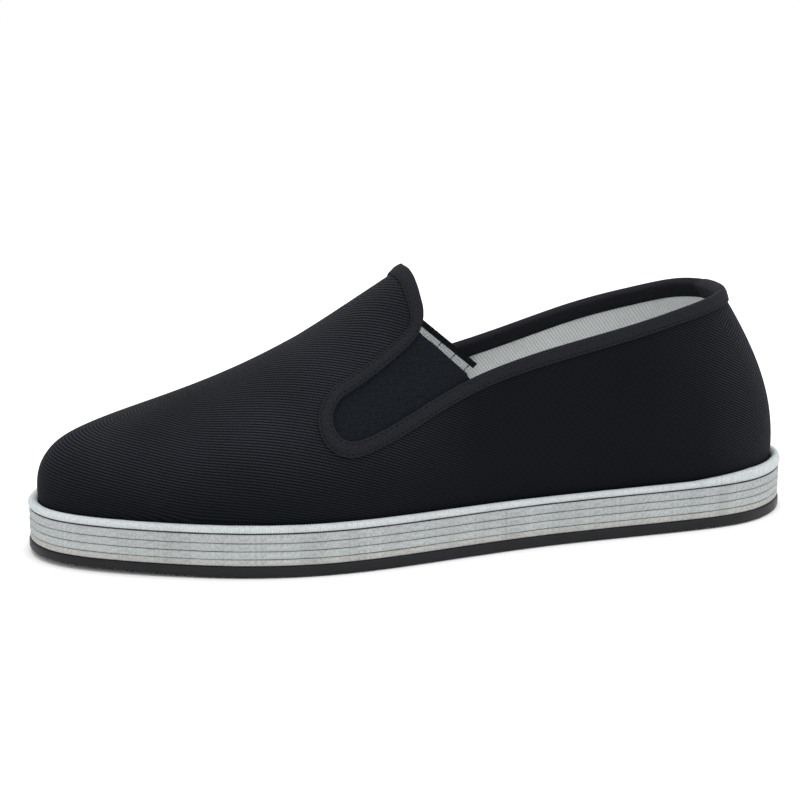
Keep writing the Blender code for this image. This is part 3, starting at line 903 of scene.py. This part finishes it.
# %% Twill outside and lining inside
dress(upper, black_twill, grey_twill)
for face in upper.data.polygons:
    middle = face.center
    foot_y = min(max(middle.y, -0.1), 0.085)
    foot_z = 40.0 * MM if middle.y > -0.05 else 28.0 * MM
    outward = middle - Vector((0.0, foot_y, foot_z))
    face.material_index = 1 if face.normal.dot(outward) < 0 else 0
place_on_shoe(upper, "upper", slot="black_canvas")

# %% [markdown]
# ## The elastic gores
# A gore is a thin knit that stretches when the foot goes in. Outside it is black. Inside, its black
# face is folded over the upper edge as a narrow hem, and the rest is pale. Each face takes its cloth
# by its distance from the slot's mouth.

# %% Gores
HEM_WIDTH = 2.2 * MM
GORE_CORNERS = {
    "gore_lateral": ((-7.8, 77.1), (9.9, 61.0)),
    "gore_medial": ((-5.6, 80.0), (24.6, 55.0)),
}
TUCK = (-1.1 * MM, -0.9 * MM)
MOUTH_REACH = 10.0 * MM
MOUTH_STOPS = 13
MOUTH_SHARE = 0.06


def curved_wall(spots):
    """Smooth surface through points, which gives x for a place along and up."""
    def terms(y, z):
        return np.stack([np.ones_like(y), y, z, y * y, y * z, z * z], axis=-1)

    shape = np.linalg.lstsq(terms(spots[:, 1], spots[:, 2]), spots[:, 0], rcond=None)[0]
    return lambda y, z: terms(y, z) @ shape


def map_side(thing):
    """Write the cloth map of a piece on the side of the shoe, from its place along and up."""
    write_map(thing.data, places(thing)[corner_vertices(thing.data)][:, 1:3])


def make_gore(node, name, side):
    """Gore that reaches under the tape, with a straight mouth between two corners."""
    gore = copy_node(node, name)
    smooth(gore, 2, "SIMPLE")
    spots = places(gore)
    wall = curved_wall(spots)
    flat = spots[:, 1:]
    old = flat[[flat[:, 1].argmax(), flat[:, 0].argmax(), flat.sum(axis=1).argmin()]]
    new = np.vstack([np.array(GORE_CORNERS[node]) * MM, old[2] + TUCK])
    change = np.linalg.solve(np.column_stack([np.ones(3), old]), new)
    moved = np.column_stack([np.ones(len(flat)), flat]) @ change
    span = np.linalg.norm(new[1] - new[0])
    ahead = (new[1] - new[0]) / span
    down = np.array([ahead[1], -ahead[0]])
    depth = (moved - new[0]) @ down
    share = (moved - new[0]) @ ahead / span
    stops = np.linspace(0.0, 1.0, MOUTH_STOPS)
    brim = [depth[np.abs(np.clip(share, 0.0, 1.0) - stop) < MOUTH_SHARE].min() for stop in stops]
    brim = np.interp(share, stops, brim)
    moved = moved - np.outer(brim * ramp(depth - brim, MOUTH_REACH, 0.0), down)
    out = spots[:, 0] + wall(moved[:, 0], moved[:, 1]) - wall(flat[:, 0], flat[:, 1])
    set_places(gore, np.column_stack([out, moved]))
    map_side(gore)
    dress(gore, black_knit, grey_knit)
    for face in gore.data.polygons:
        depth = (np.array(face.center)[1:] - new[0]) @ down
        face.material_index = 1 if face.normal.x * side < 0 and depth > HEM_WIDTH else 0
    bpy.ops.object.shade_smooth_by_angle(angle=radians(40))
    place_on_shoe(gore, node, slot="black_elastic")
    return gore


gore_outer = make_gore("gore_lateral", "knit_gore_outer", 1.0)
gore_inner = make_gore("gore_medial", "knit_gore_inner", -1.0)

# %% [markdown]
# ## Routes along the tape
# The tape is folded over the whole edge of the upper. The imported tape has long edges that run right
# round it. Walking along one, always by the straightest next edge, gives its route, and four such
# routes give the faces that the new tape follows.

# %% Walk the tape's edges
LONGEST_ROUTE = 400
HEEL_MIDDLE_X = -1.4 * MM
HEEL_FROM_Y = 0.09
tape_frame = copy_node("topline_binding", "tape_frame")
tape_spots = places(tape_frame)
neighbours = [[] for _ in tape_spots]
for edge in tape_frame.data.edges:
    first, second = edge.vertices
    neighbours[first].append(second)
    neighbours[second].append(first)


def walk_from(start, forward):
    """Vertices of a long edge, from a start in a direction until it closes."""
    route = [start]
    here = start
    while True:
        options = [v for v in neighbours[here] if len(route) < 2 or v != route[-2]]
        steps = [tape_spots[v] - tape_spots[here] for v in options]
        scores = [step @ forward / np.linalg.norm(step) for step in steps]
        best = int(np.argmax(scores))
        forward = steps[best] / np.linalg.norm(steps[best])
        here = options[best]
        if here == start or len(route) > LONGEST_ROUTE:
            return route
        route.append(here)


at_middle = np.abs(tape_spots[:, 0] - HEEL_MIDDLE_X) < 1.2 * MM
heel = np.where(at_middle & (tape_spots[:, 1] > HEEL_FROM_Y))[0]
heel_spots = tape_spots[heel]
corner_of = {
    "outer_low": heel[np.argmax(heel_spots[:, 1])],
    "outer_high": heel[np.argmax(heel_spots[:, 1] + heel_spots[:, 2])],
    "inner_high": heel[np.argmax(heel_spots[:, 2] - heel_spots[:, 1])],
    "inner_low": heel[np.argmin(heel_spots[:, 1] + heel_spots[:, 2])],
}
routes = {name: walk_from(start, np.array([1.0, 0.0, 0.0])) for name, start in corner_of.items()}
print("tape routes:", {name: len(route) for name, route in routes.items()}, "heel section", len(heel))

# %% [markdown]
# ## The folded tape
# The tape is a cotton strip that is folded over the edge and sewn through both sides. Its section is
# two short lists of points, as shares of each face's width and lifts from it in millimetres. It dips
# where the stitches pull it down. Behind the heel its two ends overlap, so it is thicker there.

# %% Folded tape
TAPE_STEPS = 640
LAP_LIFT = 0.35
LAP_BEHIND_Y = 0.1
LAP_FROM_X, LAP_TO_X = -10.5 * MM, 3.0 * MM
TAPE_SECTION_OUT = [(1.02, -0.95), (1.05, -0.6), (0.98, -0.38), (0.86, -0.46), (0.78, -0.2),
                    (0.55, 0.12), (0.3, 0.16), (0.1, 0.05), (0.0, -0.15), (-0.03, -0.6)]
TAPE_SECTION_IN = [(0.0, -0.1), (0.15, 0.1), (0.5, 0.08), (0.85, 0.0), (0.98, -0.2), (1.0, -0.62),
                   (0.9, -0.75), (0.3, -0.75)]
tracks = smooth_loop(np.hstack([tape_spots[route] for route in routes.values()]), TAPE_STEPS)
outer_low, outer_high, inner_high, inner_low = np.split(tracks, 4, axis=1)
ahead = ahead_along(outer_high)


def in_lap(spots):
    """Whether each point is where the tape's ends overlap."""
    return (spots[:, 1] > LAP_BEHIND_Y) & (spots[:, 0] > LAP_FROM_X) & (spots[:, 0] < LAP_TO_X)


lap = LAP_LIFT * in_lap(outer_high)


def face_of(high, low, sign):
    """Points of a tape face: a share of its width, and a lift from it in millimetres."""
    width = low - high
    normal = directions(np.cross(ahead, width) * sign)
    return lambda share, lift: high + share * width + ((lift + lap) * MM)[:, None] * normal


outer_face = face_of(outer_high, outer_low, 1.0)
step_out = outer_face(0.0, 1.0)[0] - outer_high[0]
outside = 1.0 if step_out[1] > 0 else -1.0
outer_face = face_of(outer_high, outer_low, outside)
inner_face = face_of(inner_high, inner_low, -outside)
rings = [outer_face(share, lift) for share, lift in TAPE_SECTION_OUT]
rings += [inner_face(share, lift) for share, lift in TAPE_SECTION_IN]
tape = closed_tube("folded_tape", np.stack(rings, axis=1))
dress(tape, black_tape)
# The overlap behind the heel carries a painted highlight.
paint(tape, "lap_highlight", in_lap(places(tape)))
place_on_shoe(tape, "topline_binding", slot="black_tape")
pick(tape_frame)
bpy.ops.object.delete()

# %% [markdown]
# ## The gore's inner ply
# Inside the shoe each gore has a second ply, which lies over the tape and reaches a little behind the
# slot. Its upper edge is folded black, and the pale side of the knit shows below. A flat grid follows
# the curve of the wall, and a solidify modifier makes it thick.

# %% Inner plies
PLY_DEPTH = 9.0 * MM
PLY_COLUMNS, PLY_ROWS = 30, 8
HEM_ROWS = 2
PLY_THICKNESS = 0.6 * MM
PLY_GAP = 0.5 * MM
PLY_CORNERS = {1.0: ((-7.0, 75.4), (12.6, 57.6)), -1.0: ((-3.4, 79.4), (29.0, 52.4))}


def make_ply(name, side):
    """Inner ply of a gore between its two upper corners."""
    near = np.vstack([inner_high, inner_low])
    near = near[(near[:, 0] * side > 0.022) & (near[:, 1] > -0.045) & (near[:, 1] < 0.035)]
    wall = curved_wall(near)
    front, rear = np.array(PLY_CORNERS[side]) * MM
    ahead = (rear - front) / np.linalg.norm(rear - front)
    down = np.array([ahead[1], -ahead[0]])
    ply = new_grid(name, PLY_COLUMNS, PLY_ROWS)
    flat = places(ply)
    spot = front + np.outer(flat[:, 0] + 0.5, rear - front)
    spot = spot + np.outer(0.5 - flat[:, 1], down * PLY_DEPTH)
    set_places(ply, np.column_stack([wall(spot[:, 0], spot[:, 1]) - side * PLY_GAP, spot]))
    map_side(ply)
    dress(ply, black_tape, grey_knit)
    for face in ply.data.polygons:
        depth = (np.array(face.center)[1:] - front) @ down
        face.material_index = 1 if depth > HEM_ROWS * PLY_DEPTH / PLY_ROWS else 0
    modifier = ply.modifiers.new("thick", "SOLIDIFY")
    modifier.thickness = PLY_THICKNESS
    modifier.offset = 0.0
    bpy.ops.object.modifier_apply(modifier=modifier.name)
    face_outward(ply)
    bpy.ops.object.shade_smooth_by_angle(angle=radians(40))
    place_on_shoe(ply)

    def spot_on(share, depth, lift):
        """Point over the ply, at a share of its length and a depth below its fold."""
        y, z = front + share * (rear - front) + depth * down
        return np.array([float(wall(y, z)) - side * (PLY_GAP + lift), y, z])

    return spot_on


outer_ply = make_ply("gore_ply_outer", 1.0)
inner_ply = make_ply("gore_ply_inner", -1.0)

# %% [markdown]
# ## Stitches
# A machine stitch is a short piece of thread that dips into the cloth at both ends. One small capsule
# is made, and every stitch is a copy of it, turned to follow the seam.

# %% Sewing
STITCH_FLATNESS = 0.8

bpy.ops.mesh.primitive_uv_sphere_add(segments=6, ring_count=5, radius=0.5)
stitch_form = bpy.context.view_layer.objects.active
form_spots = places(stitch_form)
form_faces = [tuple(face.vertices) for face in stitch_form.data.polygons]
bpy.ops.object.delete()


def sew(name, line, out, pitch, length, thickness, thread, closed=False, keep=None):
    """Row of stitches along a line of points, each with its outward direction."""
    line, out = np.asarray(line), np.asarray(out)
    if closed:
        line, out = close_line(line), close_line(out)
    walked = distances(line)
    count = int(walked[-1] / pitch)
    stops = (np.arange(count) + 0.5) * walked[-1] / count
    spot = spots_along(line, walked, stops)
    half = length / 2
    front, rear = (spots_along(line, walked, stops + shift) for shift in (half, -half))
    along = directions(front - rear)
    side = directions(np.cross(spots_along(out, walked, stops), along))
    raised = np.cross(along, side)
    size = np.array([thickness, thickness * STITCH_FLATNESS, length])
    vertices, faces = [], []
    for i in range(count):
        if keep is not None and not keep(spot[i]):
            continue
        start = len(vertices)
        turn = np.stack([side[i], raised[i], along[i]])
        vertices.extend(spot[i] + (form_spots * size) @ turn)
        faces.extend(tuple(v + start for v in face) for face in form_faces)
    mesh = bpy.data.meshes.new(name)
    mesh.from_pydata([tuple(v) for v in vertices], [], faces)
    row = bpy.data.objects.new(name, mesh)
    bpy.context.scene.collection.objects.link(row)
    face_outward(row)
    bpy.ops.object.shade_smooth()
    dress(row, thread)
    place_on_shoe(row)


# %% [markdown]
# ## Stitches of the tape
# One row holds the tape's lower edge outside and one holds it inside. Round the gores a second row
# runs close to the fold, so its stitches are kept only where the knit is near.

# %% Stitches of the tape
TAPE_PITCH = 2.1 * MM
NEAR_KNIT = 2.6 * MM
outward, inward = (directions(face(0.5, 1.0) - face(0.5, 0.0)) for face in (outer_face, inner_face))
sew("tape_stitches_low", outer_face(0.86, -0.38), outward, TAPE_PITCH, 1.5 * MM, 0.42 * MM,
    black_thread, closed=True)
sew("tape_stitches_inside", inner_face(0.86, 0.0), inward, TAPE_PITCH, 1.5 * MM, 0.36 * MM,
    black_thread, closed=True)

knit_spots = np.vstack([places(gore_outer), places(gore_inner)])
near_gore = KDTree(len(knit_spots))
for i, spot in enumerate(knit_spots):
    near_gore.insert(spot, i)
near_gore.balance()
sew("gore_stitches", outer_face(0.16, 0.12), outward, TAPE_PITCH, 1.4 * MM, 0.38 * MM,
    black_thread, closed=True, keep=lambda spot: near_gore.find(spot)[2] < NEAR_KNIT)

# %% [markdown]
# ## Threads across the inner plies
# Three long threads tack each inner ply down, from its folded edge to the lower one. Each is a row of
# stitches that meet end to end.

# %% Threads across the inner plies
THREAD_SHARES = (0.6, 0.78, 0.95)
THREAD_DEPTHS = (1.6 * MM, 8.8 * MM)
THREAD_LIFT = 0.36 * MM

for side, spot_on, label in ((1.0, outer_ply, "outer"), (-1.0, inner_ply, "inner")):
    for i, share in enumerate(THREAD_SHARES):
        line = [spot_on(share, depth, THREAD_LIFT) for depth in THREAD_DEPTHS]
        sew("ply_thread_%s_%d" % (label, i + 1), line, [(-side, 0.0, 0.0)] * 2,
            2.4 * MM, 2.6 * MM, 0.42 * MM, black_thread)

# %% [markdown]
# ## The heel's seam
# A seam on the outer side joins the strip behind the heel to the quarter. It runs down from the tape
# in a soft curve. Its stitches are laid on the nearest points of the upper.

# %% Heel seam
HEEL_SEAM = [(14.3, 110.7, 79.7), (16.5, 113.4, 72.4), (18.2, 114.9, 66.7), (19.6, 116.6, 61.2),
             (21.0, 118.2, 54.6), (22.0, 119.6, 48.6), (22.6, 120.9, 41.8), (23.0, 121.8, 35.3),
             (23.3, 122.2, 28.9), (23.4, 122.6, 22.0)]
HEEL_TACK = [(23.0, 122.6, 31.6), (21.4, 125.0, 30.6), (18.3, 129.0, 29.4)]
skin = BVHTree.FromPolygons([tuple(v) for v in places(upper)],
                            [tuple(face.vertices) for face in upper.data.polygons])


def on_skin(rows, count, lift):
    """Even points on the upper along a short table in millimetres, with the outward directions."""
    rows = np.array(rows) * MM
    walked = distances(rows)
    spots, normals = [], []
    for point in spots_along(rows, walked, np.linspace(0.0, walked[-1], count)):
        push = Vector((point[0], point[1] - 0.09, 0.0)).normalized() * 0.004
        spot, normal = skin.find_nearest(Vector(point) + push)[:2]
        spots.append(spot + lift * normal)
        normals.append(normal)
    return np.array(spots), np.array(normals)


sew("heel_seam_stitches", *on_skin(HEEL_SEAM, 40, 0.05 * MM), 2.3 * MM, 1.5 * MM, 0.34 * MM, grey_thread)
sew("heel_tack_stitches", *on_skin(HEEL_TACK, 10, 0.05 * MM), 1.9 * MM, 1.2 * MM, 0.34 * MM, grey_thread)

# %% [markdown]
# ## The floor
# The photograph has a pure white ground. A very wide white floor gives that up to the horizon, and
# throws light back up on the sole.

# %% Floor
FLOOR_SIZE = 400.0
FLOOR_HEIGHT = -0.2 * MM

bpy.ops.mesh.primitive_plane_add(size=FLOOR_SIZE, location=(0, 0, FLOOR_HEIGHT))
floor = bpy.context.view_layer.objects.active
floor.name = "floor"
floor_material, floor_shader = new_material("pale_floor", 1.0, 0.0, 0.0)
floor_shader.inputs["Base Color"].default_value = (1.0, 1.0, 1.0, 1.0)
floor.data.materials.append(floor_material)

# %% [markdown]
# ## Light
# White surroundings light the shoe from all sides, as a studio tent does. One wide lamp hangs
# overhead, and a weak one behind lights the heel.

# %% Lamps
def lamp(name, place, target, size, power):
    """Wide soft lamp that faces a point."""
    data = bpy.data.lights.new(name, "AREA")
    data.shape = "SQUARE"
    data.size = size
    data.energy = power
    thing = bpy.data.objects.new(name, data)
    bpy.context.scene.collection.objects.link(thing)
    thing.location = place
    thing.rotation_euler = (Vector(target) - Vector(place)).to_track_quat("-Z", "Y").to_euler()


lamp("overhead", (-0.1, 0.0, 1.5), (0.0, 0.0, 0.0), 1.4, 12.0)
lamp("heel", (0.3, 1.4, 0.9), (0.0, 0.1, 0.05), 0.9, 3.0)
world = bpy.data.worlds.new("surroundings")
world.use_nodes = True
world.node_tree.nodes["Background"].inputs["Color"].default_value = (1.0, 1.0, 1.0, 1.0)
world.node_tree.nodes["Background"].inputs["Strength"].default_value = 1.0
bpy.context.scene.world = world
bpy.context.scene.view_settings.view_transform = "Standard"
